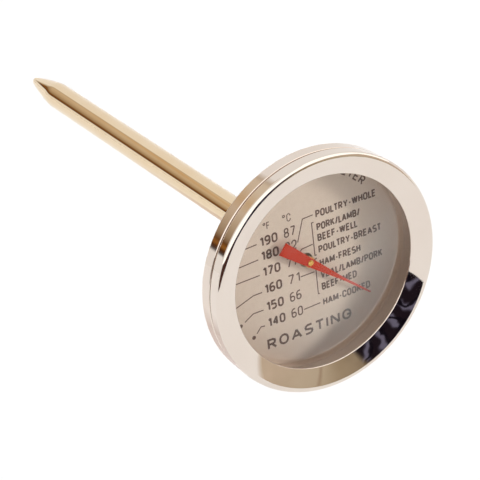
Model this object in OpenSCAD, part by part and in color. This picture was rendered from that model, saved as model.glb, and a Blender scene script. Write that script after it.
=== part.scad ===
// Dial meat thermometer: a flat round head on a pointed stem, read through a window in the bezel.
// The dial faces -Y and its twelve o'clock is +Z. The stem runs along +Y.
// The origin is on the stem's axis, where the bare stem leaves the collar behind the head.
// "Depth" is measured from the bezel's front edge back towards the stem's tip.

/* [Head] */
// Outside diameter of the head, over the bezel's skirt
head_d = 52; // [50:0.5:56]
// Depth of the case's back face
case_depth = 11.9; // [11.5:0.1:13.5]
// Thickness of the pressed steel sheet
sheet = 0.5; // [0.4:0.05:0.6]
// Width of the gap between touching pieces of one assembly
gap = 0.02; // [0.01:0.01:0.04]

/* [Bezel] */
// Diameter of the window
window_d = 42.2; // [40:0.1:43]
// Depth of the middle of the window's rounded lip
lip_depth = 1.7; // [1.4:0.1:1.9]
// Radius of the roll at the outer edge
roll_r = 0.95; // [0.6:0.05:1]
// Depth at which the skirt ends
skirt_end = 3.1; // [2.8:0.1:3.2]

/* [Case] */
// Width of the groove between the skirt and the case's band
groove_w = 0.6; // [0.4:0.1:0.7]
// How far the case's band is set in from the bezel's skirt
band_inset = 0.1; // [0.05:0.05:0.2]
// Depth at which the straight band ends and the taper begins
band_end = 6.4; // [6.2:0.1:6.5]
// Lean of the tapered wall from the head's axis, in degrees
taper_lean = 39; // [37:0.5:39]
// Radius of the corner between the taper and the back
back_r = 1.6; // [1.2:0.1:1.8]
// Diameter of the pressed boss in the middle of the back
boss_d = 23; // [18:0.5:25]
// Height of the boss
boss_h = 0.5; // [0.3:0.1:0.6]

/* [Window] */
// Thickness of the lens
lens_t = 1.6; // [1.2:0.1:1.6]
// Diameter of the lens
lens_d = 48.6; // [47:0.1:48.8]
// Depth of the lens's front face
lens_depth = 2.3; // [2.2:0.05:2.4]

/* [Dial] */
// Diameter of the dial's flat face, inside its rim
dial_d = 46; // [45:0.1:46.1]
// Depth of the dial's printed face
dial_depth = 8.7; // [8.5:0.1:8.8]
// Height of the dial's turned-up rim
dial_rim_h = 1.8; // [1.4:0.1:2]
// Thickness of the dial and of its rim
dial_t = 0.3; // [0.2:0.05:0.3]
// Diameter of the hole that the pointer's shaft comes through
dial_hole_d = 3; // [2.6:0.1:3.4]

/* [Pointer] */
// Length from the hub to the needle's end
needle_l = 18.2; // [16:0.1:19]
// Length from the hub to the blunt tail's end
tail_l = 8.2; // [7:0.1:9]
// Width across the blunt tail
tail_w = 2.85; // [2.4:0.05:3.2]
// Width at the hub
hub_w = 1.9; // [1.8:0.05:2.1]
// Width of the needle's end
needle_w = 0.36; // [0.3:0.02:0.4]
// Depth of the pointer's painted face
pointer_depth = 6.9; // [6.7:0.1:7.1]
// Direction of the needle at room temperature, anticlockwise from three o'clock
pointer_angle = -40.6; // [-60:0.1:-20]

/* [Stem] */
// Outside diameter of the stem
stem_d = 6.35; // [6:0.05:6.5]
// Wall of the stem's tube
stem_wall = 0.45; // [0.4:0.05:0.5]
// Height of the shoulder where the tube narrows to pass through the collar and the case
shoulder_h = 0.2; // [0.18:0.01:0.22]
// Length of the straight stem outside the collar
stem_l = 106; // [100:0.1:120]
// Length of the pointed tip
tip_l = 14.2; // [12:0.1:16]
// Radius of the rounded point
tip_r = 1.05; // [0.6:0.05:1.1]

/* [Movement] */
// Diameter of the pointer's shaft
shaft_d = 0.8; // [0.7:0.05:0.9]
// Diameter of the bimetal helix
coil_d = 4.3; // [4:0.1:4.4]
// Number of turns in the helix
coil_turns = 15; // [12:1:18]
// Height of the wound helix
coil_l = 28; // [26:1:32]

/* [Hidden] */

$fn = 96;

// Pieces behind the head
seal_t = 0.5;
collar_l = 2.4;
boss_depth = case_depth + boss_h;
front = -(boss_depth + seal_t + collar_l);

// Bezel: its sloping face is the common tangent of the outer roll and the rounded lip
head_r = head_d / 2;
window_r = window_d / 2;
lip_r = sheet / 2;
roll_at = [head_r - roll_r, roll_r];
lip_at = [window_r + lip_r, lip_depth];
roll_to_lip = lip_at - roll_at;
face_normal = atan2(roll_to_lip[1], roll_to_lip[0]) + acos((roll_r - lip_r) / norm(roll_to_lip));

// Case
neck_r = head_r - sheet - gap;
band_r = head_r - band_inset;
band_start = skirt_end + groove_w;
case_floor = case_depth - sheet;
boss_floor = boss_depth - sheet;
corner_at = [(band_r * cos(taper_lean) + (band_end - case_depth + back_r) * sin(taper_lean) - back_r)
             / cos(taper_lean), case_depth - back_r];

// Pieces that clamp the case to the collar, stacked on the tube's narrow shank
washer_t = 0.4;
lock_ring_t = 0.9;
stem_r = stem_d / 2;
bore_r = stem_r - stem_wall;
shank_r = stem_r - shoulder_h;
shank_hole_r = shank_r + gap;
stem_top = front + boss_floor - washer_t - lock_ring_t - 0.3;

// Movement
shaft_r = shaft_d / 2;
shaft_hole_r = shaft_r + 0.05;
coil_r = coil_d / 2;
strip_t = 0.3;
strip_w = 0.9;
tang_l = 1.2;
spigot_l = 4;
anchor_l = 3.5;
coil_collar_l = 4;
guide_l = 3;
clear_l = 1;
anchor_start = stem_l - spigot_l - clear_l - anchor_l;
coil_start = anchor_start - coil_l - strip_w;
coil_collar_start = coil_start - coil_collar_l;
guide_start = coil_collar_start - clear_l - guide_l;

// Pointer and hub
pointer_t = 0.25;
pointer_back = pointer_depth + pointer_t;
hub_head_r = 0.63;
hub_head_h = 0.2;
hub_neck_r = 0.52;
hub_flange_r = 1.15;
hub_flange_h = 0.8;

// Points on an arc about a centre, from angle a to angle b
function arc(centre, r, a, b, steps = 10) =
    [for (i = [0:steps]) let (t = a + (b - a) * i / steps) centre + r * [cos(t), sin(t)]];

// A shape turned about the stem's axis, drawn as (radius, distance along +Y from the origin)
module turned() {
    rotate([-90, 0, 0]) rotate_extrude() children();
}

// A shape turned about the stem's axis, drawn as (radius, depth)
module turned_at_depth() {
    translate([0, front, 0]) turned() children();
}

// A plain ring between two depths
module ring(inner, outer, from, to) {
    turned_at_depth() translate([inner, from]) square([outer - inner, to - from]);
}

// A plain ring between two distances along +Y
module stem_ring(inner, outer, from, to) {
    turned() translate([inner, from]) square([outer - inner, to - from]);
}

// Faces the viewer of the dial: drawn as (right, up), raised towards the front from a depth
module on_dial(depth, thickness) {
    translate([0, front + depth, 0]) rotate([90, 0, 0]) linear_extrude(thickness) children();
}

// Polished ring pressed from one sheet: sloping face, rolled edge, straight skirt and rounded lip
module bezel_ring() {
    color("gainsboro") turned_at_depth() polygon(concat(
        arc(lip_at, lip_r, face_normal - 180, face_normal),
        arc(roll_at, roll_r, face_normal, 360),
        [[head_r, skirt_end], [head_r - sheet, skirt_end]],
        arc(roll_at, roll_r - sheet, 360, face_normal)));
}

// Clear flat disc with an eased edge
module lens() {
    ease = 0.15;
    edge = lens_d / 2;
    color([0.85, 0.92, 0.95, 0.35]) turned_at_depth() polygon([
        [0, lens_depth], [edge - ease, lens_depth], [edge, lens_depth + ease],
        [edge, lens_depth + lens_t - ease], [edge - ease, lens_depth + lens_t], [0, lens_depth + lens_t]]);
}

// Depth of the bezel's inner face at a radius
function bezel_inside(r) =
    lip_at[1] - (lip_r + (r - lip_at[0]) * cos(face_normal)) / sin(face_normal);

// Wedge-shaped seal between the bezel's slope and the lens
module lens_gasket() {
    inner = window_r + 1.2;
    outer = lens_d / 2 - 0.3;
    bed = lens_depth - gap;
    color("dimgray") turned_at_depth() polygon([
        [inner, bezel_inside(inner) + gap], [outer, bezel_inside(outer) + gap], [outer, bed], [inner, bed]]);
}

// Spacer that holds the lens off the dial: a wall with a flange under the lens
module spacer_ring() {
    top = lens_depth + lens_t + gap;
    wall = 0.5;
    flange_t = 0.6;
    inner = dial_d / 2;
    color("silver") turned_at_depth() polygon([
        [inner, top], [lens_d / 2 - 0.2, top], [lens_d / 2 - 0.2, top + flange_t],
        [inner + wall, top + flange_t], [inner + wall, dial_depth - dial_rim_h - gap],
        [inner, dial_depth - dial_rim_h - gap]]);
}

// Flat printed plate with a turned-up rim and a hole for the shaft
module dial_plate() {
    inner = dial_d / 2;
    bend = 0.3;
    color("lightgray") turned_at_depth() polygon(concat(
        [[dial_hole_d / 2, dial_depth + dial_t], [dial_hole_d / 2, dial_depth]],
        arc([inner - bend, dial_depth - bend], bend, 90, 0, 6),
        [[inner, dial_depth - dial_rim_h], [inner + dial_t, dial_depth - dial_rim_h]],
        arc([inner - bend, dial_depth - bend], bend + dial_t, 0, 90, 6)));
}

// Pressed channel that stands the dial off the case's floor
module dial_support() {
    top = dial_depth + dial_t + gap;
    floor_at = case_floor - gap;
    inner = 15;
    outer = 19;
    foot = 1.6;
    color("darkgray") turned_at_depth() polygon([
        [inner, top], [outer, top], [outer, floor_at - sheet], [outer + foot, floor_at - sheet],
        [outer + foot, floor_at], [outer - sheet, floor_at], [outer - sheet, top + sheet],
        [inner + sheet, top + sheet], [inner + sheet, floor_at], [inner - foot, floor_at],
        [inner - foot, floor_at - sheet], [inner, floor_at - sheet]]);
}

// Pressed cup: neck inside the bezel, straight band, taper, and a back with a boss and the stem's hole
module case_back() {
    neck_top = lens_depth + 0.3;
    boss_r = boss_d / 2;
    boss_inner = boss_r - sheet / 2;
    wall_r = band_r - sheet;
    color("gainsboro") turned_at_depth() polygon(concat(
        [[neck_r, neck_top], [neck_r, band_start], [band_r, band_start], [band_r, band_end]],
        arc(corner_at, back_r, taper_lean, 90),
        [[boss_r + boss_h, case_depth], [boss_r, boss_depth], [shank_hole_r, boss_depth],
         [shank_hole_r, boss_floor], [boss_inner, boss_floor], [boss_inner + boss_h, case_floor]],
        arc(corner_at, back_r - sheet, 90, taper_lean),
        [[wall_r, band_end - sheet * tan(taper_lean / 2)], [wall_r, band_start + sheet],
         [neck_r - sheet, band_start + sheet], [neck_r - sheet, neck_top]]));
}

// Washer that seals the stem's hole in the case
module stem_seal() {
    color("dimgray") ring(shank_hole_r, 5, boss_depth + gap, boss_depth + seal_t - gap);
}

// Turned collar behind the head that the stem's shoulder rests against
module stem_collar() {
    outer = 5.5;
    chamfer = 0.9;
    color("silver") turned() polygon([
        [shank_hole_r, -collar_l], [outer, -collar_l], [outer, -gap - chamfer], [outer - chamfer, -gap],
        [shank_hole_r, -gap]]);
}

// Spring washer between the case's floor and the lock ring
module lock_washer() {
    color("darkgray") ring(shank_hole_r, 4.9, boss_floor - washer_t, boss_floor - gap);
}

// Ring on the stem's inner end that clamps the case against the collar, with two flats for a tool
module lock_ring() {
    outer = 4.4;
    across_flats = 7.4;
    to = boss_floor - washer_t - gap;
    from = to - lock_ring_t;
    color("darkgray") intersection() {
        ring(shank_hole_r, outer, from, to);
        translate([-across_flats / 2, front + from - 1, -outer - 1])
            cube([across_flats, lock_ring_t + 2, 2 * outer + 2]);
    }
}

// Tube that carries the movement and reaches into the meat, narrower where it enters the head
module stem_tube() {
    color("wheat") turned() polygon([
        [bore_r, stem_top], [shank_r, stem_top], [shank_r, 0], [stem_r, 0], [stem_r, stem_l],
        [bore_r, stem_l]]);
}

// Solid point: a spigot inside the tube and a slightly rounded cone outside
module stem_tip() {
    bulge_r = 110;
    half = norm([stem_r - tip_r, tip_l - tip_r]) / 2;
    sag = bulge_r - sqrt(bulge_r * bulge_r - half * half);
    lean = atan2(stem_r - tip_r, tip_l - tip_r);
    side = [for (i = [0:6]) let (t = i / 6, out = sag * 4 * t * (1 - t))
        [stem_r + (tip_r * cos(lean) - stem_r) * t + out * cos(lean),
         stem_l + (tip_l - tip_r + tip_r * sin(lean)) * t + out * sin(lean)]];
    color("wheat") turned() polygon(concat(
        [[0, stem_l - spigot_l], [bore_r - gap, stem_l - spigot_l], [bore_r - gap, stem_l + gap],
         [stem_r, stem_l + gap]],
        [for (i = [1:6]) side[i]],
        arc([0, stem_l + tip_l - tip_r], tip_r, lean, 90, 6)));
}

// Flanged bush in the top of the stem that steadies the shaft under the dial
module shaft_bearing() {
    flange_t = 0.3;
    seat = stem_top - gap;
    end = stem_top + 2.5;
    color("goldenrod") turned() polygon([
        [shaft_hole_r, seat - flange_t], [shank_r, seat - flange_t], [shank_r, seat], [bore_r - gap, seat],
        [bore_r - gap, end], [shaft_hole_r, end]]);
}

// Bush inside the stem that centres the shaft above the helix
module shaft_guide() {
    color("goldenrod") stem_ring(shaft_hole_r, bore_r - gap, guide_start, guide_start + guide_l);
}

// Flat tang at an end of the helix, on the side where its winding begins and ends
module tang(from, to, clearance = 0) {
    translate([coil_r - strip_t - clearance, from, -strip_w / 2 - clearance])
        cube([strip_t + 2 * clearance, to - from, strip_w + 2 * clearance]);
}

// Plug in the stem that holds the lower end of the helix still
module coil_anchor() {
    color("goldenrod") difference() {
        stem_ring(0, bore_r - gap, anchor_start, anchor_start + anchor_l);
        tang(anchor_start - gap, anchor_start + tang_l + gap, gap);
    }
}

// One cross-section of the helix: a flat strip standing along the axis, a fraction t of the way down
function strip_section(t) =
    let (a = 360 * coil_turns * t, y = coil_start + coil_l * t, inner = coil_r - strip_t)
    [for (c = [[inner, 0], [coil_r, 0], [coil_r, strip_w], [inner, strip_w]])
        [c[0] * cos(a), y + c[1], -c[0] * sin(a)]];

// Bimetal strip wound to a helix, whose free end turns the shaft as it warms
module bimetal_coil() {
    per_turn = 16;
    rings = coil_turns * per_turn;
    points = [for (i = [0:rings]) each strip_section(i / rings)];
    sides = [for (i = [0:rings - 1], k = [0:3]) let (n = (k + 1) % 4)
        [4 * i + k, 4 * i + n, 4 * i + 4 + n, 4 * i + 4 + k]];
    color("peru") {
        polyhedron(points, concat([[3, 2, 1, 0]], sides, [[for (k = [0:3]) 4 * rings + k]]));
        tang(coil_start - tang_l, coil_start + strip_w / 2);
        tang(anchor_start - strip_w / 2, anchor_start + tang_l);
    }
}

// Sleeve on the shaft that the free end of the helix turns
module coil_collar() {
    color("goldenrod") difference() {
        stem_ring(shaft_r + gap, coil_r + 0.1, coil_collar_start, coil_start);
        tang(coil_start - tang_l - gap, coil_start + gap, gap);
    }
}

// Long brass wire from the helix to the pointer
module pointer_shaft() {
    sunk = 0.1;
    color("gold") stem_ring(0, shaft_r, front + pointer_depth - hub_head_h + sunk, coil_start - gap);
}

// Brass bush staked over the pointer, with the shaft's end showing in its middle
module pointer_hub() {
    head_at = pointer_depth - hub_head_h;
    neck_at = pointer_depth - gap;
    flange_at = pointer_back + gap;
    flange_end = flange_at + hub_flange_h;
    hole = shaft_r + gap / 2;
    color("gold") turned_at_depth() polygon([
        [hole, head_at], [hub_head_r * 0.85, head_at], [hub_head_r, head_at + 0.1], [hub_head_r, neck_at],
        [hub_neck_r, neck_at], [hub_neck_r, flange_at], [hub_flange_r, flange_at],
        [hub_flange_r, flange_end], [hole, flange_end]]);
}

// Flat painted needle with a broad blunt tail
module pointer() {
    slender_from = needle_l * 0.56;
    slender_w = 0.56;
    outline = [[-tail_l, tail_w / 2], [0, hub_w / 2], [slender_from, slender_w / 2],
               [needle_l, needle_w / 2]];
    color("firebrick") on_dial(pointer_back, pointer_t) rotate(pointer_angle) difference() {
        polygon(concat(outline, [for (i = [3:-1:0]) [outline[i][0], -outline[i][1]]]));
        circle(hub_neck_r + gap);
    }
}

bezel_ring();
lens();
lens_gasket();
spacer_ring();
dial_plate();
dial_support();
case_back();
stem_seal();
stem_collar();
lock_washer();
lock_ring();
stem_tube();
stem_tip();
shaft_bearing();
shaft_guide();
coil_anchor();
bimetal_coil();
coil_collar();
pointer_shaft();
pointer_hub();
pointer();
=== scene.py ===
"""Looks of the dial meat thermometer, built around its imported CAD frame.

The frame: the dial faces -Y, +Z is its twelve o'clock, the stem runs along +Y, and the origin is where
the bare stem leaves the collar. Sizes here are in millimetres, and "depth" is measured from the bezel's
front edge back towards the stem's tip, as in the part's own source.
"""

import math

import bmesh
import bpy
from mathutils import Matrix, Vector


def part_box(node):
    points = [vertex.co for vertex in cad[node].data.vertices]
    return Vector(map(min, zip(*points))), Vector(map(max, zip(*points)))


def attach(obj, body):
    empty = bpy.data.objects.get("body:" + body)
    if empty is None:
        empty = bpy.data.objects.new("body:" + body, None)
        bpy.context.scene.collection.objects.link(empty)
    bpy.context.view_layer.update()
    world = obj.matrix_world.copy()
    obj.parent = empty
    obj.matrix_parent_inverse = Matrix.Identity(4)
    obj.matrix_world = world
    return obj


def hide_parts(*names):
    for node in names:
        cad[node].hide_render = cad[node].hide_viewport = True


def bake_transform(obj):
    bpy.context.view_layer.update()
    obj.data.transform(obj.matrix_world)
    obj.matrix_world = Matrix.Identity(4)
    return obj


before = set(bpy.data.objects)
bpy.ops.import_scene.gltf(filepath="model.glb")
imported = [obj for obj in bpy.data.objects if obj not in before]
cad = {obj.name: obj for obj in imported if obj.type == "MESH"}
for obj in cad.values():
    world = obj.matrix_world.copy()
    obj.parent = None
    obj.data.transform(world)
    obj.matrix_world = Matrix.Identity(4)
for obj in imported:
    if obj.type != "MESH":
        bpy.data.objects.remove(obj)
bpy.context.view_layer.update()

MM = 0.001


def lowest(node):
    """A CAD node's lowest corner in mm."""
    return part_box(node)[0] / MM


def highest(node):
    """A CAD node's highest corner in mm."""
    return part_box(node)[1] / MM


# Sizes that the CAD nodes give
FRONT = lowest("bezel_ring").y
HEAD_R = highest("bezel_ring").x
SKIRT_END = highest("bezel_ring").y - FRONT
LENS_R = highest("lens").x
LENS_TOP = lowest("lens").y - FRONT
LENS_BACK = highest("lens").y - FRONT
SPACER_R = highest("spacer_ring").x
SPACER_END = highest("spacer_ring").y - FRONT
DIAL_OUTER_R = highest("dial_plate").x
DIAL_RIM_TOP = lowest("dial_plate").y - FRONT
DIAL_BACK = highest("dial_plate").y - FRONT
BAND_R = highest("case_back").x
NECK_TOP = lowest("case_back").y - FRONT
BOSS_DEPTH = highest("case_back").y - FRONT
SEAL_R = highest("stem_seal").x
SEAL_TOP = lowest("stem_seal").y
SEAL_END = highest("stem_seal").y
COLLAR_R = highest("stem_collar").x
COLLAR_TOP = lowest("stem_collar").y
COLLAR_END = highest("stem_collar").y
STEM_R = highest("stem_tube").x
STEM_TOP = lowest("stem_tube").y
STEM_END = highest("stem_tube").y
TIP_TOP = lowest("stem_tip").y
TIP_END = highest("stem_tip").y
HUB_TOP = lowest("pointer_hub").y - FRONT
HUB_END = highest("pointer_hub").y - FRONT
HUB_FLANGE_R = highest("pointer_hub").x
POINTER_TOP = lowest("pointer").y - FRONT
POINTER_BACK = highest("pointer").y - FRONT
SHAFT_R = highest("pointer_shaft").x
COIL_R = highest("bimetal_coil").x
COIL_TOP = highest("coil_collar").y
COIL_END = lowest("coil_anchor").y

# Sizes that only the source of the part gives
SHEET = 0.5
GAP = 0.02
LIP_DEPTH = 1.7
LIP_AT_R = 21.35
ROLL_R = 0.95
FACE_BULGE = 0.03
BAND_START = 3.7
BAND_END = 6.4
TAPER_LEAN = 39
BACK_R = 1.6
CASE_DEPTH = 11.9
BOSS_R = 11.5
SHANK_R = STEM_R - 0.2
BORE_R = STEM_R - 0.45
DIAL_T = 0.3
DIAL_DEPTH = DIAL_BACK - DIAL_T
DIAL_R = DIAL_OUTER_R - DIAL_T
DIAL_HOLE_R = 1.5
TIP_R = 1.05
COIL_TURNS = 15
STRIP_T = 0.3
STRIP_W = 0.9
TANG_L = 1.2


# ---------------------------------------------------------------- meshes


def towards(azimuth, elevation):
    """The direction at angles in degrees from the origin: azimuth 0 is the dial's front, 90 its right."""
    a, e = math.radians(azimuth), math.radians(elevation)
    return Vector((math.sin(a) * math.cos(e), -math.cos(a) * math.cos(e), math.sin(e)))


def bow(t):
    """A rise from 0 to 1 and back to 0 while t runs from 0 to 1."""
    return 4 * t * (1 - t)


def arc(centre, r, start, end, steps):
    """Points of an arc from one angle to another, in degrees."""
    turns = [math.radians(start + (end - start) * i / steps) for i in range(steps + 1)]
    return [(centre[0] + r * math.cos(t), centre[1] + r * math.sin(t)) for t in turns]


def eased(corners, steps=5):
    """An outline whose corners are (x, y) or, to be rounded, (x, y, radius)."""
    out = []
    for i, corner in enumerate(corners):
        here = Vector(corner[:2])
        if len(corner) < 3:
            out.append(tuple(here))
            continue
        before = (Vector(corners[i - 1][:2]) - here).normalized()
        after = (Vector(corners[(i + 1) % len(corners)][:2]) - here).normalized()
        half = before.angle(after) / 2
        centre = here + (before + after).normalized() * corner[2] / math.sin(half)
        start = here + before * corner[2] / math.tan(half) - centre
        end = here + after * corner[2] / math.tan(half) - centre
        sweep = math.atan2(start.x * end.y - start.y * end.x, start.dot(end))
        for k in range(steps + 1):
            out.append(tuple(centre + Matrix.Rotation(sweep * k / steps, 2) @ start))
    return out


def braced(outline, near=0.03, long_run=0.24):
    """Adds points close to both ends of the long straight runs, which keeps them flat when shaded smooth."""
    out = []
    for here, there in zip(outline, outline[1:] + outline[:1]):
        here, there = Vector(here), Vector(there)
        out.append(tuple(here))
        if (there - here).length > long_run:
            step = (there - here).normalized() * near
            out += [tuple(here + step), tuple(there - step)]
    return out


def at_depth(outline):
    """An outline in (radius, depth) as one in (radius, y)."""
    return [(r, FRONT + d) for r, d in outline]


def add_piece(name, mesh_data, body, slot, material, replaces=()):
    """A finished mesh in mm becomes a piece that rides on a body."""
    mesh = bpy.data.meshes.new(name)
    bmesh.ops.recalc_face_normals(mesh_data, faces=mesh_data.faces)
    mesh_data.transform(Matrix.Scale(MM, 4))
    mesh_data.to_mesh(mesh)
    mesh_data.free()
    piece = bpy.data.objects.new(name, mesh)
    bpy.context.scene.collection.objects.link(piece)
    mesh.materials.append(material)
    if body:
        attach(piece, body)
    if replaces:
        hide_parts(*replaces)
    return piece


def smooth(piece, sharp_angle=38):
    """Smooth shading, except over edges sharper than an angle."""
    piece.data.shade_smooth()
    piece.data.set_sharp_from_angle(angle=math.radians(sharp_angle))
    return piece


def turned(outline, segments=192):
    """A solid turned about the stem's axis from a closed outline of (radius, y)."""
    solid = bmesh.new()
    hoops = []
    for r, y in braced(outline):
        on_axis = r < 1e-6
        if on_axis:
            hoops.append([solid.verts.new((0, y, 0))])
            continue
        angles = [2 * math.pi * i / segments for i in range(segments)]
        hoops.append([solid.verts.new((r * math.cos(a), y, r * math.sin(a))) for a in angles])
    for a, b in zip(hoops, hoops[1:] + hoops[:1]):
        if len(a) == 1 and len(b) == 1:
            continue
        for i in range(segments):
            j = (i + 1) % segments
            corners = [a[i % len(a)], a[j % len(a)], b[j % len(b)], b[i % len(b)]]
            solid.faces.new(list(dict.fromkeys(corners)))
    return solid


def prism(solid, outline, back, front):
    """Adds a solid with the outline (right, up) between two distances along Y."""
    backs = [solid.verts.new((x, back, z)) for x, z in outline]
    fronts = [solid.verts.new((x, front, z)) for x, z in outline]
    solid.faces.new(backs)
    solid.faces.new(fronts[::-1])
    for i, (a, b) in enumerate(zip(backs, fronts)):
        j = (i + 1) % len(outline)
        solid.faces.new([backs[j], a, b, fronts[j]])


# ---------------------------------------------------------------- materials


def node(tree, kind, inputs=None, **settings):
    """A shader node, with its inputs set to values or linked to other nodes' sockets."""
    made = tree.nodes.new("ShaderNode" + kind)
    for key, value in settings.items():
        setattr(made, key, value)
    for key, value in (inputs or {}).items():
        if isinstance(value, bpy.types.NodeSocket):
            tree.links.new(value, made.inputs[key])
        else:
            made.inputs[key].default_value = value
    return made


def new_material(name):
    """An empty node material: (material, its tree, object coordinates in mm)."""
    material = bpy.data.materials.new(name)
    material.use_nodes = True
    tree = material.node_tree
    tree.nodes.clear()
    place = node(tree, "TexCoord").outputs["Object"]
    in_mm = node(tree, "VectorMath", {0: place, "Scale": 1 / MM}, operation="SCALE").outputs[0]
    return material, tree, in_mm


def stretched(tree, place, scale):
    """Coordinates multiplied along each axis, which draws a pattern out where the factor is small."""
    return node(tree, "VectorMath", {0: place, 1: scale}, operation="MULTIPLY").outputs[0]


def noise(tree, place, scale, detail=3.0, distortion=0.0):
    """Noise from 0 to 1."""
    inputs = {"Vector": place, "Scale": scale, "Detail": detail, "Distortion": distortion}
    return node(tree, "TexNoise", inputs).outputs[0]


def rings(tree, place, scale, distortion=0.0):
    """Fine rings about the stem's axis."""
    inputs = {"Vector": place, "Scale": scale, "Distortion": distortion, "Detail": 2.0}
    return node(tree, "TexWave", inputs, wave_type="RINGS", rings_direction="Y").outputs["Fac"]


def mapped(tree, value, low, high, from_low=0.0, from_high=1.0):
    """A value spread from one range to another."""
    inputs = {"Value": value, 1: from_low, 2: from_high, 3: low, 4: high}
    return node(tree, "MapRange", inputs).outputs[0]


def blended(tree, factor, a, b):
    """A colour between a and b."""
    inputs = {"Factor": factor, "A": (*a, 1) if isinstance(a, tuple) else a,
              "B": (*b, 1) if isinstance(b, tuple) else b}
    mix = tree.nodes.new("ShaderNodeMix")
    mix.data_type = "RGBA"
    for key, value in inputs.items():
        socket = next(s for s in mix.inputs if s.name == key and s.type in ("VALUE", "RGBA")
                      and (s.type == "RGBA") == (key != "Factor"))
        if isinstance(value, bpy.types.NodeSocket):
            tree.links.new(value, socket)
        else:
            socket.default_value = value
    return next(s for s in mix.outputs if s.type == "RGBA")


def bump(tree, height, strength, distance, over=None):
    """A normal from a height over another normal if any; distance is the height's full range in mm."""
    inputs = {"Height": height, "Strength": strength, "Distance": distance * MM}
    if over:
        inputs["Normal"] = over
    return node(tree, "Bump", inputs).outputs[0]


def finish_with(tree, surface):
    """Links a shader to the material's output."""
    tree.links.new(surface, node(tree, "OutputMaterial").inputs["Surface"])


def principled(tree, **inputs):
    """A Principled shader; the underscores in its inputs' names stand for spaces."""
    named = {key.replace("_", " "): value for key, value in inputs.items()}
    finish_with(tree, node(tree, "BsdfPrincipled", named).outputs[0])


def polished_steel(name, tint, smudge, rough, marks, waviness):
    """Bright metal: faint smudges, fine marks left by turning or polishing, and a slightly wavy sheet."""
    material, tree, place = new_material(name)
    cloud = noise(tree, place, scale=0.12, detail=4)
    fine = noise(tree, stretched(tree, place, marks), scale=1.0, detail=4)
    wave = noise(tree, place, scale=0.35, detail=1)
    colour = blended(tree, mapped(tree, cloud, 0, 1, from_low=0.35, from_high=0.7), tint, smudge)
    ripple = bump(tree, wave, strength=waviness, distance=0.02)
    scratch = bump(tree, fine, strength=0.04, distance=0.002, over=ripple)
    principled(tree, Base_Color=colour, Metallic=1.0, Roughness=mapped(tree, fine, *rough), Normal=scratch)
    return material


def turned_metal(name, tint, dark, rough, ring_scale):
    """Metal with the rings that a lathe leaves, and duller patches."""
    material, tree, place = new_material(name)
    groove = rings(tree, place, ring_scale, distortion=0.6)
    cloud = noise(tree, place, scale=0.5, detail=5)
    colour = blended(tree, mapped(tree, cloud, 0, 1, from_low=0.3, from_high=0.75), tint, dark)
    principled(tree, Base_Color=colour, Metallic=1.0, Roughness=mapped(tree, cloud, *rough),
               Normal=bump(tree, groove, strength=0.25, distance=0.01))
    return material


def satin_dial(name):
    """Silver-grey printed ground: satin metallic paint with a fine grain and faint mottling."""
    material, tree, place = new_material(name)
    grain = noise(tree, stretched(tree, place, (3.0, 3.0, 30.0)), scale=1.0, detail=3)
    mottle = noise(tree, place, scale=1.6, detail=6)
    patches = mapped(tree, mottle, 0, 1, from_low=0.3, from_high=0.7)
    colour = blended(tree, patches, (0.765, 0.612, 0.522), (0.73, 0.578, 0.488))
    principled(tree, Base_Color=colour, Metallic=0.1, Roughness=mapped(tree, grain, 0.42, 0.55),
               Specular_IOR_Level=0.15, Normal=bump(tree, grain, strength=0.12, distance=0.006))
    return material


def matte_paint(name, tint, worn, rough):
    """Matte ink, paint or enamel: uneven coverage and a slight orange peel."""
    material, tree, place = new_material(name)
    cover = noise(tree, place, scale=2.2, detail=5)
    peel = noise(tree, place, scale=9.0, detail=2)
    colour = blended(tree, mapped(tree, cover, 0, 1, from_low=0.35, from_high=0.75), tint, worn)
    principled(tree, Base_Color=colour, Roughness=mapped(tree, peel, *rough),
               Specular_IOR_Level=0.1, Normal=bump(tree, peel, strength=0.1, distance=0.01))
    return material


def soft_rubber(name):
    """Black seal rubber with a dusty bloom."""
    material, tree, place = new_material(name)
    bloom = noise(tree, place, scale=1.2, detail=6)
    pores = noise(tree, place, scale=12.0, detail=2)
    dust = mapped(tree, bloom, 0, 1, from_low=0.4, from_high=0.8)
    colour = blended(tree, dust, (0.02, 0.019, 0.018), (0.06, 0.056, 0.052))
    principled(tree, Base_Color=colour, Roughness=mapped(tree, bloom, 0.55, 0.8),
               Normal=bump(tree, pores, strength=0.2, distance=0.01))
    return material


def two_layer_strip(name):
    """Rolled strip whose outer layer is bronze-coloured and whose inner layer is grey."""
    material, tree, place = new_material(name)
    split = node(tree, "SeparateXYZ", {0: place})
    across = node(tree, "CombineXYZ", {"X": split.outputs["X"], "Z": split.outputs["Z"]}).outputs[0]
    radius = node(tree, "VectorMath", {0: across}, operation="LENGTH").outputs["Value"]
    middle = COIL_R - STRIP_T / 2
    layer = mapped(tree, radius, 0, 1, from_low=middle - 0.01, from_high=middle + 0.01)
    rolled = noise(tree, stretched(tree, place, (1.0, 14.0, 1.0)), scale=1.0, detail=4)
    colour = blended(tree, layer, (0.5, 0.5, 0.51), (0.6, 0.42, 0.26))
    principled(tree, Base_Color=colour, Metallic=1.0, Roughness=mapped(tree, rolled, 0.22, 0.42),
               Normal=bump(tree, rolled, strength=0.15, distance=0.01))
    return material


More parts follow.
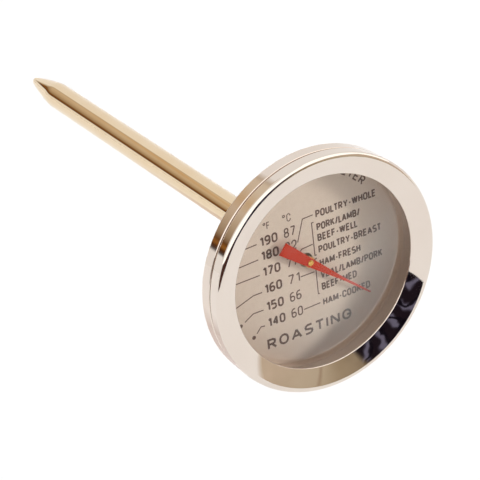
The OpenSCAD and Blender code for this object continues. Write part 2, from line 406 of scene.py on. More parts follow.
def clear_glass(name):
    """Flat coated glass seen straight through, with a weak reflection and a faint haze of fingerprints."""
    material, tree, place = new_material(name)
    haze = noise(tree, place, scale=0.25, detail=5, distortion=0.8)
    clear = node(tree, "BsdfTransparent", {"Color": (0.97, 0.98, 0.97, 1)}).outputs[0]
    gloss = node(tree, "BsdfGlossy", {"Color": (1, 1, 1, 1), "Roughness": mapped(tree, haze, 0.0, 0.06)})
    coating = 0.12
    mirror = node(tree, "Fresnel", {"IOR": 1.5}).outputs[0]
    share = node(tree, "Math", {0: mirror, 1: coating}, operation="MULTIPLY").outputs[0]
    finish_with(tree, node(tree, "MixShader", {0: share, 1: clear, 2: gloss.outputs[0]}).outputs[0])
    return material


BEZEL_STEEL = polished_steel("bezel_steel", tint=(0.76, 0.68, 0.61), smudge=(0.74, 0.655, 0.585),
                             rough=(0.02, 0.05), marks=(0.6, 0.6, 0.6), waviness=0.02)
CASE_STEEL = polished_steel("case_steel", tint=(0.76, 0.67, 0.60), smudge=(0.73, 0.63, 0.55),
                            rough=(0.04, 0.09), marks=(2.0, 2.0, 2.0), waviness=0.02)
STEM_STEEL = polished_steel("stem_steel", tint=(0.80, 0.65, 0.455), smudge=(0.78, 0.615, 0.41),
                            rough=(0.03, 0.07), marks=(3.0, 0.08, 3.0), waviness=0.01)
PLAIN_STEEL = turned_metal("plain_steel", tint=(0.62, 0.61, 0.60), dark=(0.48, 0.47, 0.46),
                           rough=(0.28, 0.45), ring_scale=3.0)
HUB_BRASS = turned_metal("hub_brass", tint=(0.85, 0.52, 0.11), dark=(0.62, 0.33, 0.06),
                         rough=(0.2, 0.35), ring_scale=12.0)
BUSH_BRASS = turned_metal("bush_brass", tint=(0.72, 0.54, 0.27), dark=(0.55, 0.40, 0.19),
                          rough=(0.2, 0.38), ring_scale=8.0)
SPACER_GREY = matte_paint("spacer_grey", tint=(0.70, 0.57, 0.50), worn=(0.64, 0.52, 0.455), rough=(0.5, 0.65))
DIAL_SILVER = satin_dial("dial_silver")
POINTER_RED = matte_paint("pointer_red", tint=(0.60, 0.029, 0.002), worn=(0.54, 0.025, 0.002),
                          rough=(0.55, 0.7))
INK = matte_paint("dial_ink", tint=(0.14, 0.074, 0.06), worn=(0.18, 0.10, 0.08), rough=(0.5, 0.65))
RUBBER = soft_rubber("seal_rubber")
BIMETAL = two_layer_strip("bimetal_strip")
GLASS = clear_glass("lens_glass")


# ---------------------------------------------------------------- head


def bezel_outline():
    """Polished ring of sheet: its sloping face is the common tangent of the rounded lip and the roll."""
    lip = Vector((LIP_AT_R, LIP_DEPTH))
    roll = Vector((HEAD_R - ROLL_R, ROLL_R))
    lip_r = SHEET / 2
    run = lip - roll
    normal = math.degrees(math.atan2(run.y, run.x) + math.acos((ROLL_R - lip_r) / run.length))
    edge = 0.12
    skirt = [(HEAD_R, SKIRT_END, edge), (HEAD_R - SHEET, SKIRT_END, edge)]
    lip_arc = arc(lip, lip_r, normal - 180, normal, steps=20)
    roll_arc = arc(roll, ROLL_R, normal, 360, steps=24)
    out = Vector((math.cos(math.radians(normal)), math.sin(math.radians(normal)))) * FACE_BULGE
    face_steps = 12
    shares = [i / face_steps for i in range(1, face_steps)]
    face = [tuple(Vector(lip_arc[-1]).lerp(Vector(roll_arc[0]), t) + out * bow(t)) for t in shares]
    outside = lip_arc + face + roll_arc
    inside = arc(roll, ROLL_R - SHEET, 360, normal, steps=12)
    return at_depth(eased(outside + skirt + inside))


def case_outline():
    """Pressed cup: neck under the bezel, straight band, taper, and a back with a raised boss."""
    neck_r = HEAD_R - SHEET - GAP
    lean = math.tan(math.radians(TAPER_LEAN))
    half_lean = math.tan(math.radians(TAPER_LEAN / 2))
    back_edge = BAND_R - (CASE_DEPTH - BAND_END) * lean
    boss_h = BOSS_DEPTH - CASE_DEPTH
    hole = SHANK_R + GAP
    floor = CASE_DEPTH - SHEET
    wall_r = BAND_R - SHEET
    taper_in = BAND_END - SHEET * half_lean
    floor_edge = wall_r - (floor - taper_in) * lean
    neck_bend = 0.08
    band_bend = 0.25
    taper_bend = 0.5
    boss_bend = 0.4
    boss_bend_in = 0.2
    outside = [(neck_r, NECK_TOP), (neck_r, BAND_START, neck_bend), (BAND_R, BAND_START, band_bend),
               (BAND_R, BAND_END, taper_bend), (back_edge, CASE_DEPTH, BACK_R),
               (BOSS_R + boss_h, CASE_DEPTH, boss_bend), (BOSS_R, BOSS_DEPTH, boss_bend), (hole, BOSS_DEPTH)]
    inside = [(hole, BOSS_DEPTH - SHEET), (BOSS_R - SHEET / 2, BOSS_DEPTH - SHEET, boss_bend_in),
              (BOSS_R - SHEET / 2 + boss_h, floor, boss_bend_in), (floor_edge, floor, BACK_R - SHEET),
              (wall_r, taper_in), (wall_r, BAND_START + SHEET), (neck_r - SHEET, BAND_START + SHEET),
              (neck_r - SHEET, NECK_TOP)]
    return at_depth(eased(outside + inside))


def lens_outline():
    """Flat disc with an eased edge."""
    ease = 0.15
    return at_depth(eased([(0, LENS_TOP), (LENS_R, LENS_TOP, ease), (LENS_R, LENS_BACK, ease),
                           (0, LENS_BACK)]))


def spacer_outline():
    """Wall that stands on the dial's rim, with a flange under the lens."""
    wall = 0.5
    flange_t = 0.6
    flange_top = LENS_BACK + GAP
    flange_end = flange_top + flange_t
    top_edge = 0.1
    bend = 0.2
    foot_edge = 0.12
    return at_depth(eased([(DIAL_R, flange_top, top_edge), (SPACER_R, flange_top), (SPACER_R, flange_end),
                           (DIAL_R + wall, flange_end, bend), (DIAL_R + wall, SPACER_END),
                           (DIAL_R, SPACER_END, foot_edge)]))


def dial_outline():
    """Flat plate with a turned-up rim and a hole for the shaft."""
    bend = 0.3
    hole_edge = 0.05
    rim_edge = 0.1
    return at_depth(eased([(DIAL_HOLE_R, DIAL_BACK), (DIAL_HOLE_R, DIAL_DEPTH, hole_edge),
                           (DIAL_R, DIAL_DEPTH, bend), (DIAL_R, DIAL_RIM_TOP, rim_edge),
                           (DIAL_OUTER_R, DIAL_RIM_TOP, rim_edge),
                           (DIAL_OUTER_R, DIAL_BACK, bend + DIAL_T)]))


def hub_outline():
    """Brass bush staked over the pointer: a head with a rounded edge, neck, and a flange behind."""
    head_r = 0.63
    neck_r = 0.52
    hole = SHAFT_R + GAP / 2
    under_head = POINTER_TOP - GAP
    flange_at = POINTER_BACK + GAP
    dish = 0.02
    hole_edge = 0.015
    head_edge = 0.14
    flange_edge = 0.08
    return at_depth(eased([(hole, HUB_TOP + dish, hole_edge), (head_r, HUB_TOP, head_edge),
                           (head_r, under_head), (neck_r, under_head), (neck_r, flange_at),
                           (HUB_FLANGE_R, flange_at, flange_edge), (HUB_FLANGE_R, HUB_END, flange_edge),
                           (hole, HUB_END)]))


def tube_outline():
    """Thin tube with a narrower shank where it enters the head."""
    end_edge = 0.08
    shoulder_edge = 0.05
    return eased([(BORE_R, STEM_TOP), (SHANK_R, STEM_TOP, end_edge), (SHANK_R, 0),
                  (STEM_R, 0, shoulder_edge), (STEM_R, STEM_END), (BORE_R, STEM_END)])


def tip_outline():
    """Solid point: a spigot in the tube and a slightly bulging cone with a rounded end."""
    bulge_r = 110
    shoulder_r = 21
    straight = 1.4
    steps = 16
    cone_top = STEM_END + straight
    cone_l = TIP_END - cone_top - TIP_R
    lean = math.atan2(STEM_R - TIP_R, cone_l)
    half = math.hypot(STEM_R - TIP_R, cone_l) / 2
    sag = bulge_r - math.sqrt(bulge_r**2 - half**2)
    side = []
    # The side's first point would fall within the shoulder's rounding, so it is left out
    for i in range(2, steps + 1):
        t = i / steps
        out = sag * bow(t)
        side.append((STEM_R + (TIP_R * math.cos(lean) - STEM_R) * t + out * math.cos(lean),
                     cone_top + (cone_l + TIP_R * math.sin(lean)) * t + out * math.sin(lean)))
    spigot_r = BORE_R - GAP
    spigot = [(0, TIP_TOP), (spigot_r, TIP_TOP), (spigot_r, STEM_END), (STEM_R, STEM_END),
              (STEM_R, cone_top, shoulder_r)]
    end = arc((0, TIP_END - TIP_R), TIP_R, math.degrees(lean), 90, steps=8)
    return eased(spigot + side + end[1:-1] + [(0, TIP_END)])


def collar_outline():
    """Turned collar with a chamfered back edge."""
    chamfer = 0.9
    edge = 0.15
    hole_edge = 0.1
    hole = SHANK_R + GAP
    return eased([(hole, COLLAR_TOP), (COLLAR_R, COLLAR_TOP, edge), (COLLAR_R, COLLAR_END - chamfer, edge),
                  (COLLAR_R - chamfer, COLLAR_END, edge), (hole, COLLAR_END, hole_edge)])


def seal_outline():
    """Washer between the collar and the case, squeezed out a little round its edge."""
    hole = SHANK_R + GAP
    roundness = 0.9
    edge = roundness * (SEAL_END - SEAL_TOP) / 2
    return eased([(hole, SEAL_TOP), (SEAL_R, SEAL_TOP, edge), (SEAL_R, SEAL_END, edge), (hole, SEAL_END)])


# CAD node, outline, slot, material, segments round
ROUND_PIECES = [
    ("bezel_ring", bezel_outline(), "bezel_steel", BEZEL_STEEL, 288),
    ("case_back", case_outline(), "case_steel", CASE_STEEL, 256),
    ("lens", lens_outline(), "lens_glass", GLASS, 192),
    ("spacer_ring", spacer_outline(), "dial_silver", SPACER_GREY, 192),
    ("dial_plate", dial_outline(), "dial_silver", DIAL_SILVER, 192),
    ("stem_tube", tube_outline(), "stem_steel", STEM_STEEL, 128),
    ("stem_tip", tip_outline(), "stem_steel", STEM_STEEL, 128),
    ("stem_collar", collar_outline(), "case_steel", CASE_STEEL, 128),
    ("stem_seal", seal_outline(), "seal_rubber", RUBBER, 96),
]
for node_name, outline, slot, material, segments in ROUND_PIECES:
    smooth(add_piece(f"{node_name}_turned", turned(outline, segments), "case", slot, material, [node_name]))

hub_solid = turned(hub_outline(), 64)
smooth(add_piece("pointer_hub_turned", hub_solid, "movement", "hub_brass", HUB_BRASS, ["pointer_hub"]))


# ---------------------------------------------------------------- bimetal helix


def helix():
    """Strip wound to a helix, with a flat tang along the stem at each end."""
    per_turn = 40
    count = COIL_TURNS * per_turn
    wound = COIL_END - COIL_TOP - STRIP_W
    inner = COIL_R - STRIP_T
    section = [(inner, 0), (COIL_R, 0), (COIL_R, STRIP_W), (inner, STRIP_W)]
    solid = bmesh.new()
    loops = []
    for i in range(count + 1):
        a = 2 * math.pi * i / per_turn
        y = COIL_TOP + wound * i / count
        loops.append([solid.verts.new((r * math.cos(a), y + h, -r * math.sin(a))) for r, h in section])
    solid.faces.new(loops[0])
    solid.faces.new(loops[-1][::-1])
    for a, b in zip(loops, loops[1:]):
        for k in range(len(section)):
            solid.faces.new([a[k - 1], b[k - 1], b[k], a[k]])
    across = [(inner, -STRIP_W / 2), (COIL_R, -STRIP_W / 2), (COIL_R, STRIP_W / 2), (inner, STRIP_W / 2)]
    prism(solid, across, COIL_TOP + STRIP_W / 2, COIL_TOP - TANG_L)
    prism(solid, across, COIL_END + TANG_L, COIL_END - STRIP_W / 2)
    return solid


coil = add_piece("bimetal_coil_wound", helix(), None, "bimetal_strip", BIMETAL, ["bimetal_coil"])
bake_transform(coil)


# ---------------------------------------------------------------- print on the dial

INK_T = 0.02
INK_SINK = 0.004
INK_BACK = FRONT + DIAL_DEPTH + INK_SINK
INK_FRONT = INK_BACK - INK_T


def stroke(solid, points, width, place=tuple):
    """A line of ink through points (right, up, rounding if any) that joins up if it ends where it starts.

    place moves a point (right, up) of the line's edges to where it belongs on the dial.
    """
    bluntest = 0.6
    closed = points[0] == points[-1]
    path = [Vector(p) for p in eased(points[:-1] if closed else points)]
    count = len(path)
    rows = []
    for i, here in enumerate(path):
        before = (here - path[i - 1]).normalized() if closed or i else None
        after = (path[(i + 1) % count] - here).normalized() if closed or i < count - 1 else None
        before, after = before or after, after or before
        side = Vector((-after.y, after.x))
        mitre = (Vector((-before.y, before.x)) + side).normalized()
        reach = mitre * width / 2 / max(mitre.dot(side), bluntest)
        edges = [place(tuple(here + reach)), place(tuple(here - reach))]
        rows.append([solid.verts.new((x, y, z)) for y in (INK_FRONT, INK_BACK) for x, z in edges])
    for i in range(count if closed else count - 1):
        a, b = rows[i], rows[(i + 1) % count]
        for j, k in ((0, 1), (1, 3), (3, 2), (2, 0)):
            solid.faces.new([a[j], a[k], b[k], b[j]])
    if not closed:
        for end in (rows[0], rows[-1]):
            solid.faces.new([end[0], end[1], end[3], end[2]])


def spot(solid, centre, r):
    """A round dot of ink."""
    circle = arc(centre, r, 0, 360, steps=32)
    prism(solid, circle[:-1], INK_BACK, INK_FRONT)


def loop(left, bottom, right, top, rounding):
    """A closed stroke round a box with rounded corners."""
    start = (left, bottom, rounding)
    return [start, (right, bottom, rounding), (right, top, rounding), (left, top, rounding), start]


def zigzag(*corners):
    """Separate straight strokes from each corner to the next, for corners too sharp to mitre."""
    return [list(leg) for leg in zip(corners, corners[1:])]


# Narrow upright letters, drawn by the middle of their strokes: (width, strokes) for a letter 1 high
LETTERS = {
    "A": (0.6, [*zigzag((0, 0), (0.3, 1), (0.6, 0)), [(0.1, 0.3), (0.5, 0.3)]]),
    "B": (0.5, [[(0, 0), (0.5, 0, 0.24), (0.5, 0.52, 0.24), (0, 0.52)],
                [(0, 0.52), (0.46, 0.52, 0.22), (0.46, 1, 0.22), (0, 1), (0, 0)]]),
    "C": (0.5, [[(0.5, 0.68), (0.5, 1, 0.24), (0, 1, 0.24), (0, 0, 0.24), (0.5, 0, 0.24), (0.5, 0.32)]]),
    "D": (0.5, [[(0, 0), (0.5, 0, 0.28), (0.5, 1, 0.28), (0, 1), (0, 0)]]),
    "E": (0.44, [[(0.44, 1), (0, 1), (0, 0), (0.44, 0)], [(0, 0.52), (0.4, 0.52)]]),
    "F": (0.44, [[(0.44, 1), (0, 1), (0, 0)], [(0, 0.52), (0.4, 0.52)]]),
    "G": (0.52, [[(0.52, 0.7), (0.52, 1, 0.25), (0, 1, 0.25), (0, 0, 0.25), (0.52, 0, 0.25), (0.52, 0.46),
                  (0.28, 0.46)]]),
    "H": (0.5, [[(0, 0), (0, 1)], [(0.5, 0), (0.5, 1)], [(0, 0.52), (0.5, 0.52)]]),
    "I": (0, [[(0, 0), (0, 1)]]),
    "K": (0.52, [[(0, 0), (0, 1)], [(0.48, 1), (0, 0.38)], [(0.17, 0.58), (0.52, 0)]]),
    "L": (0.3, [[(0, 1), (0, 0), (0.4, 0)]]),
    "M": (0.68, zigzag((0, 0), (0, 1), (0.34, 0.12), (0.68, 1), (0.68, 0))),
    "N": (0.52, zigzag((0, 0), (0, 1), (0.52, 0), (0.52, 1))),
    "O": (0.54, [loop(0, 0, 0.54, 1, 0.26)]),
    "P": (0.48, [[(0, 0), (0, 1), (0.48, 1, 0.23), (0.48, 0.46, 0.23), (0, 0.46)]]),
    "R": (0.5, [[(0, 0), (0, 1), (0.48, 1, 0.22), (0.48, 0.48, 0.22), (0, 0.48)], [(0.24, 0.48), (0.5, 0)]]),
    "S": (0.5, [[(0.46, 1), (0, 1, 0.23), (0, 0.54, 0.2), (0.5, 0.46, 0.2), (0.5, 0, 0.23), (0.02, 0)]]),
    "T": (0.42, [[(-0.05, 1), (0.47, 1)], [(0.21, 1), (0.21, 0)]]),
    "U": (0.5, [[(0, 1), (0, 0, 0.24), (0.5, 0, 0.24), (0.5, 1)]]),
    "V": (0.56, zigzag((0, 1), (0.28, 0), (0.56, 1))),
    "W": (0.8, zigzag((0, 1), (0.2, 0), (0.4, 1), (0.6, 0), (0.8, 1))),
    "Y": (0.56, [[(0, 1), (0.28, 0.45), (0.56, 1)], [(0.28, 0.45), (0.28, 0)]]),
    "0": (0.5, [loop(0, 0, 0.5, 1, 0.24)]),
    "1": (0.24, zigzag((0, 0.78), (0.24, 1), (0.24, 0))),
    "2": (0.5, [[(0, 0.7), (0, 1, 0.24), (0.5, 1, 0.24), (0.5, 0.55, 0.2), (0, 0)], [(0, 0), (0.5, 0)]]),
    "4": (0.54, zigzag((0.4, 0), (0.4, 1), (0, 0.28), (0.54, 0.28))),
    "5": (0.5, [[(0.46, 1), (0.04, 1), (0.01, 0.58), (0.5, 0.58, 0.26), (0.5, 0, 0.26), (0, 0)]]),
    "6": (0.5, [loop(0, 0, 0.5, 0.56, 0.24), [(0, 0.3), (0, 1, 0.3), (0.44, 1)]]),
    "7": (0.5, zigzag((0, 1), (0.5, 1), (0.16, 0))),
    "8": (0.5, [loop(0, 0, 0.5, 0.52, 0.24), loop(0.03, 0.52, 0.47, 1, 0.21)]),
    "9": (0.5, [loop(0, 0.44, 0.5, 1, 0.24), [(0.5, 0.7), (0.5, 0, 0.3), (0.06, 0)]]),
    "-": (0.26, [[(0, 0.4), (0.26, 0.4)]]),
    "/": (0.28, [[(0, -0.03), (0.28, 1.03)]]),
    "°": (0.36, [loop(0, 0.72, 0.36, 1, 0.15)]),
    " ": (0.2, [])}
LETTER_GAP = 0.32


def lettering(solid, text, height, width, weight, place):
    """Prints a line of text of a height, a whole width and a stroke weight.

    place turns the line's own (right, up) coordinates, from its middle at the baseline, to the dial's.
    """
    span = sum(LETTERS[c][0] for c in text) + LETTER_GAP * (len(text) - 1)
    wide = (width - weight) / span
    tall = height - weight
    start = (weight - width) / 2
    for c in text:
        letter_width, strokes = LETTERS[c]
        for points in strokes:
            line = [(start + right * wide, weight / 2 + up * tall, *(r * wide for r in rounding))
                    for right, up, *rounding in points]
            stroke(solid, line, weight, place)
        start += (letter_width + LETTER_GAP) * wide


def centred_at(x, z):
    """Places a line of print with the middle of its baseline at a point."""
    return lambda point: (x + point[0], z + point[1])


def on_circle(r, middle):
    """Bends a line of print round the dial, clockwise, with its middle at an angle from twelve o'clock."""
    def place(point):
        a = math.radians(90 - middle) - point[0] / r
        return ((r + point[1]) * math.cos(a), (r + point[1]) * math.sin(a))
    return place


# Fahrenheit, Celsius, height of the row's middle
SCALE_ROWS = [
    ("190", "87", 7.65), ("180", "82", 4.45), ("170", "77", 0.8), ("160", "71", -3.15), ("150", "66", -7.2),
    ("140", "60", -11.0)]
# Words, height of the baseline, right end; all start at the same place
FOODS = [
    ("POULTRY-WHOLE", 8.55, 18.0), ("PORK/LAMB/", 5.55, 13.8), ("BEEF-WELL", 3.1, 12.96),
    ("POULTRY-BREAST", 0.4, 18.7), ("HAM-FRESH", -2.7, 13.3), ("VEAL/LAMB/PORK", -5.6, 18.6),
    ("BEEF-MED", -8.3, 11.9), ("HAM-COOKED", -11.9, 15.0)]
FOODS_FROM = 3.15
# Thin lines from the numbers to the scale and to the foods, through points (right, up)
LEADERS = [
    [(-11.1, 7.5), (-13.8, 7.4), (-17.6, 8.2)],
    [(-11.1, 4.0), (-15.75, 3.8), (-19.3, 4.3)],
    [(-11.15, 0.45), (-16.7, 0.4), (-19.5, 0.0)],
    [(-11.0, -3.55), (-13.1, -3.55), (-18.2, -5.2)],
    [(-11.1, -7.65), (-13.55, -7.6), (-15.7, -8.8)],
    [(-11.15, -11.35), (-12.1, -11.25), (-13.2, -12.45)],
    [(-1.6, 4.6), (0, 9.4), (2.5, 9.5)],
    [(-1.23, 2.3), (-0.85, 2.75), (1.9, 2.96)],
    [(2.56, 7.78), (2.06, 7.78), (2.19, 0.26), (2.61, 0.23)],
    [(-1.66, -3.37), (1.71, -3.4)],
    [(2.62, -0.5), (2.1, -0.6), (2.18, -8.78), (2.56, -8.8)],
    [(-1.58, -11.1), (2.48, -11.0)]]
LEADER_W = 0.24
# Column of numbers: middle, width, stroke weight
FAHRENHEIT_COLUMN = (-8.25, 4.2, 0.42)
CELSIUS_COLUMN = (-3.25, 2.8, 0.3)
NUMBER_H = 2.2
FOOD_H = 1.7
FOOD_WEIGHT = 0.35
# Words, height, width, stroke weight, middle of the baseline
SINGLE_LINES = [
    ("°F", 1.6, 1.6, 0.2, (-8.5, 10.0)),
    ("°C", 1.8, 2.0, 0.2, (-3.7, 10.0)),
    ("ROASTING", 2.5, 20.8, 0.48, (-0.6, -17.3))]
TITLE_R = 19.0
TITLE_MIDDLE = 8.7
# One dot to a row of the scale, clockwise by angles in degrees from three o'clock
DOTS = 5
DOT_R = 0.45
DOT_AT_R = 19.15
FIRST_DOT = 136.8
DEGREES_PER_ROW = 13.9


def print_column(ink, numbers, column):
    """Prints numbers of (text, height of the row's middle) one under another."""
    x, width, weight = column
    for text, z in numbers:
        lettering(ink, text, NUMBER_H, width, weight, centred_at(x, z - NUMBER_H / 2))


def print_words(ink):
    """Prints the foods, the units and the titles."""
    for words, z, end in FOODS:
        place = centred_at((FOODS_FROM + end) / 2, z)
        lettering(ink, words, FOOD_H, end - FOODS_FROM, FOOD_WEIGHT, place)
    for words, height, width, weight, middle in SINGLE_LINES:
        lettering(ink, words, height, width, weight, centred_at(*middle))
    title_place = on_circle(TITLE_R, TITLE_MIDDLE)
    lettering(ink, "MEAT THERMOMETER", height=1.9, width=27.7, weight=0.34, place=title_place)


def dial_print():
    """Everything printed on the dial, as one thin layer of ink."""
    ink = bmesh.new()
    print_column(ink, [(fahrenheit, z) for fahrenheit, celsius, z in SCALE_ROWS], FAHRENHEIT_COLUMN)
    print_column(ink, [(celsius, z) for fahrenheit, celsius, z in SCALE_ROWS], CELSIUS_COLUMN)
    print_words(ink)
    for line in LEADERS:
        stroke(ink, line, LEADER_W)
    for row in range(DOTS):
        a = math.radians(-FIRST_DOT - DEGREES_PER_ROW * row)
        spot(ink, (DOT_AT_R * math.cos(a), DOT_AT_R * math.sin(a)), DOT_R)
    return ink


add_piece("dial_print", dial_print(), "case", "dial_silver", INK)


# ---------------------------------------------------------------- CAD nodes that stay

STAY = {
    "pointer": POINTER_RED, "pointer_shaft": HUB_BRASS, "coil_collar": BUSH_BRASS,
    "coil_anchor": BUSH_BRASS, "shaft_bearing": BUSH_BRASS, "shaft_guide": BUSH_BRASS,
    "lens_gasket": RUBBER, "dial_support": PLAIN_STEEL, "lock_washer": PLAIN_STEEL, "lock_ring": PLAIN_STEEL}


def ease_edges(piece, width=0.03, sharp_angle=50):
    """Takes the sharpness off the edges of a mesh; the width is in mm and the angle in degrees."""
    bevel = piece.modifiers.new("eased_edges", "BEVEL")
    bevel.width = width * MM
    bevel.segments = 2
    bevel.limit_method = "ANGLE"
    bevel.angle_limit = math.radians(sharp_angle)


for name, material in STAY.items():
    cad[name].data.materials.clear()
    cad[name].data.materials.append(material)
    ease_edges(cad[name])


# ---------------------------------------------------------------- studio


def glowing(name, colour_from):
    """An emissive material that is clear where its card's cover is 0.

    Its colour comes from a function of its tree and the place in mm.
    """
    material, tree, place = new_material(name)
    light = node(tree, "Emission", {"Color": colour_from(tree, place)}).outputs[0]
    clear = node(tree, "BsdfTransparent").outputs[0]
    cover = node(tree, "Attribute", attribute_name="cover").outputs["Fac"]
    finish_with(tree, node(tree, "MixShader", {0: cover, 1: clear, 2: light}).outputs[0])
    return material


def ramp(tree, value, stops):
    """A colour that runs through stops of (position, linear colour)."""
    made = node(tree, "ValToRGB", {"Fac": value})
    elements = made.color_ramp.elements
    while len(elements) < len(stops):
        elements.new(0.5)
    for element, (position, colour) in zip(elements, stops):
        element.position = position
        element.color = (*colour, 1)
    return made.outputs["Color"]


def height_share(tree, place):
    """Degrees above the horizon as seen from the origin, as a share of 90."""
    direction = node(tree, "VectorMath", {0: place}, operation="NORMALIZE").outputs[0]
    up = node(tree, "SeparateXYZ", {0: direction})
    angle = node(tree, "Math", {0: up.outputs["Z"]}, operation="ARCSINE").outputs[0]
    return mapped(tree, angle, 0, 1, 0, math.pi / 2)


def slope(tree, place):
    """X over Y, which stays the same up an upright line."""
    split = node(tree, "SeparateXYZ", {0: place})
    return node(tree, "Math", {0: split.outputs["X"], 1: split.outputs["Y"]}, operation="DIVIDE").outputs[0]


def plain_room(tree, place):
    """Pale walls and ceiling."""
    return blended(tree, noise(tree, place, scale=0.001, detail=2), (1.0, 0.985, 0.97), (0.96, 0.945, 0.93))


def wavy_bands(tree, place, distortion, detail_scale, offset):
    """Wavy bands across a cloth, from 0 to 1."""
    inputs = {"Vector": place, "Scale": 0.0040, "Distortion": distortion, "Detail": 1.0,
              "Detail Scale": detail_scale, "Phase Offset": offset}
    return node(tree, "TexWave", inputs, bands_direction="DIAGONAL").outputs["Fac"]


def navy_cloth(tree, place):
    """Dark folds with a few blue-grey bands across them and thin black creases."""
    folds = wavy_bands(tree, place, distortion=3.5, detail_scale=3.0, offset=2.0)
    creases = wavy_bands(tree, place, distortion=5.0, detail_scale=2.5, offset=0.0)
    in_crease = mapped(tree, creases, 1, 0, from_low=0.05, from_high=0.14)
    cloth = ramp(tree, folds, [(0.45, (0.014, 0.009, 0.014)), (0.7, (0.05, 0.043, 0.066)),
                               (0.95, (0.16, 0.155, 0.235))])
    return blended(tree, in_crease, cloth, (0.006, 0.004, 0.008))


def tan_wall(tree, place):
    """Tan with one soft upright seam, darker next to the navy cloth."""
    across = mapped(tree, slope(tree, place), 1, 0, from_low=-1.2, from_high=-0.25)
    wall = ramp(tree, across, [
        (0.0, (0.20, 0.15, 0.10)), (0.2, (0.36, 0.28, 0.185)), (0.37, (0.56, 0.48, 0.355)),
        (0.40, (0.42, 0.32, 0.23)), (0.43, (0.58, 0.50, 0.38)), (1.0, (0.67, 0.56, 0.44))])
    shade = noise(tree, place, scale=0.006, detail=2)
    return blended(tree, mapped(tree, shade, 0, 0.4, from_low=0.4, from_high=0.7), wall, (0.50, 0.42, 0.30))


def dark_room(tree, place):
    """Brown-black furniture."""
    patches = noise(tree, place, scale=0.006, detail=3)
    return blended(tree, patches, (0.05, 0.022, 0.018), (0.11, 0.05, 0.04))


def brown_curtain(tree, place):
    """Tan, browner downwards, with a plain strip down one side, an orange hem and almost black under it."""
    drop = ramp(tree, height_share(tree, place), [
        (0.06, (0.03, 0.011, 0.005)), (0.085, (0.10, 0.035, 0.01)), (0.105, (0.34, 0.14, 0.03)),
        (0.13, (0.16, 0.065, 0.02)), (0.17, (0.37, 0.265, 0.165)), (0.25, (0.56, 0.44, 0.31)),
        (0.32, (0.69, 0.57, 0.43)), (0.37, (0.68, 0.50, 0.31)), (0.42, (0.77, 0.66, 0.52))])
    past_seam = mapped(tree, slope(tree, place), 0, 1, from_low=-0.12, from_high=-0.06)
    return blended(tree, past_seam, drop, (0.60, 0.50, 0.39))


def shaded_table(tree, place):
    """The shaded far side of the table."""
    patches = noise(tree, place, scale=0.01, detail=2)
    return blended(tree, patches, (0.84, 0.75, 0.72), (0.78, 0.69, 0.66))


def bright_sky(tree, place):
    """Large soft window light, a little uneven."""
    patches = noise(tree, place, scale=0.002, detail=1)
    return blended(tree, patches, (1.7, 1.68, 1.65), (1.5, 1.48, 1.45))


def pale_floor():
    """White table: faintly mottled, matte."""
    material, tree, place = new_material("floor_white")
    cloud = noise(tree, place, scale=0.004, detail=3)
    colour = blended(tree, cloud, (0.97, 0.97, 0.97), (0.95, 0.95, 0.95))
    principled(tree, Base_Color=colour, Roughness=mapped(tree, cloud, 0.7, 0.8), Specular_IOR_Level=0.0)
    return material


def curved_sheet(name, azimuths, elevations, r, fade):
    """A sheet that bends round the origin between angles in degrees.

    It has an attribute, cover, that falls to 0 at its edges. fade is how far in from its upright and its
    level edges that starts, in degrees.
    """
    steps = 36
    corners = []
    cover = []
    for i in range(steps + 1):
        azimuth = azimuths[0] + (azimuths[1] - azimuths[0]) * i / steps
        across = min(azimuth - azimuths[0], azimuths[1] - azimuth)
        for k in range(steps + 1):
            height = elevations[0] + (elevations[1] - elevations[0]) * k / steps
            upward = min(height - elevations[0], elevations[1] - height)
            corners.append(towards(azimuth, height) * r * MM)
            shares = [inside / width for inside, width in zip((across, upward), fade) if width]
            cover.append(min([1] + shares))
    rows = steps + 1
    faces = [(i * rows + k, i * rows + k + 1, (i + 1) * rows + k + 1, (i + 1) * rows + k)
             for i in range(steps) for k in range(steps)]
    mesh = bpy.data.meshes.new(name)
    mesh.from_pydata(corners, [], faces)
    mesh.attributes.new("cover", "FLOAT", "POINT").data.foreach_set("value", cover)
    return mesh


def around(name, azimuths, elevations, r, colour_from, fade):
    """A card round the thermometer that is seen only in reflections."""
    mesh = curved_sheet(name, azimuths, elevations, r, fade)
    mesh.materials.append(glowing(name, colour_from))
    card = bpy.data.objects.new(name, mesh)
    bpy.context.scene.collection.objects.link(card)
    card.visible_camera = False
    card.visible_diffuse = False
    card.visible_shadow = False
    card.visible_transmission = False


def lay_floor(drop=200, reach=4000):
    """A white table top, a drop below the thermometer, that reaches far to every side."""
    far = reach * MM
    z = (lowest("bezel_ring").z - drop) * MM
    mesh = bpy.data.meshes.new("floor")
    corners = [(-far, -far, z), (far, -far, z), (far, far, z), (-far, far, z)]
    mesh.from_pydata(corners, [], [(0, 1, 2, 3)])
    mesh.materials.append(pale_floor())
    floor = bpy.data.objects.new("floor", mesh)
    bpy.context.scene.collection.objects.link(floor)


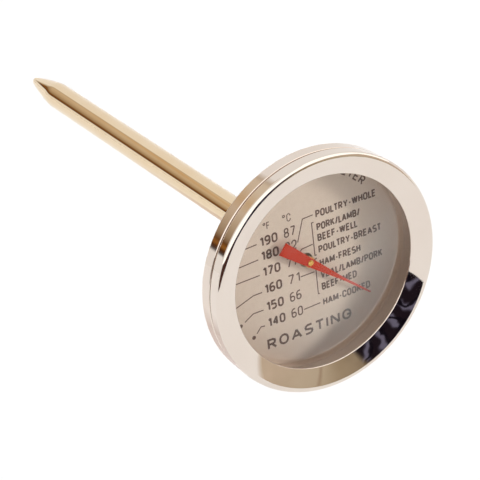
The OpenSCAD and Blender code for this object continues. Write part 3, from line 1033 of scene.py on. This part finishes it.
# Name, azimuths, elevations, distance, colours, fade; a nearer card hides what it overlaps
CARDS = [
    ("surroundings", (-180, 180), (-6, 90), 2500, plain_room, (0, 0)),
    ("window_light", (-100, 100), (10, 75), 1500, bright_sky, (0, 0)),
    ("navy_card", (-16, 17), (-17.5, 30), 940, navy_cloth, (2, 2)),
    ("tan_card", (10, 70), (-12.5, 30), 950, tan_wall, (2, 2)),
    ("dark_card", (-85, -5), (-11, 11), 960, dark_room, (2, 2)),
    ("curtain_card", (-181, -132), (4, 60), 1500, brown_curtain, (5, 1.7)),
    ("table_card", (-225, -145), (-58, -26), 250, shaded_table, (12, 8))]

lay_floor()
for card_facts in CARDS:
    around(*card_facts)


def soft_sun(name, source, strength, spread, tint):
    """Even soft light from a direction, which does not show in reflections."""
    light = bpy.data.lights.new(name, "SUN")
    light.energy = strength
    light.angle = math.radians(spread)
    light.color = tint
    holder = bpy.data.objects.new(name, light)
    holder.rotation_euler = (-source).to_track_quat("-Z", "Y").to_euler()
    holder.visible_glossy = False
    bpy.context.scene.collection.objects.link(holder)


def faint_room_light(tint, strength):
    """An even glow from all sides."""
    world = bpy.data.worlds.new("studio")
    world.use_nodes = True
    bpy.context.scene.world = world
    background = world.node_tree.nodes["Background"]
    background.inputs["Color"].default_value = (*tint, 1)
    background.inputs["Strength"].default_value = strength


soft_sun("table_light", towards(0, 90), strength=2.95, spread=30, tint=(1, 1, 1))
soft_sun("key_light", towards(50, 4), strength=2.15, spread=16, tint=(1.0, 0.99, 0.97))
faint_room_light(tint=(1.0, 0.88, 0.80), strength=0.09)
bpy.context.scene.view_settings.view_transform = "Standard"


def camera(aim, back, roll, distance, lens):
    """The camera looks at aim from a direction, and roll turns it anticlockwise."""
    data = bpy.data.cameras.new("camera")
    data.lens = lens
    data.clip_start = 0.01
    holder = bpy.data.objects.new("camera", data)
    turn = (-back).to_track_quat("-Z", "Y").to_matrix() @ Matrix.Rotation(math.radians(roll), 3, "Z")
    holder.matrix_world = Matrix.Translation((Vector(aim) + back * distance) * MM) @ turn.to_4x4()
    bpy.context.scene.collection.objects.link(holder)
    bpy.context.scene.camera = holder


camera(aim=(-12.92, -3.21, 7.84), back=towards(-28.35, 27.44), roll=-6.24, distance=402.3, lens=150)
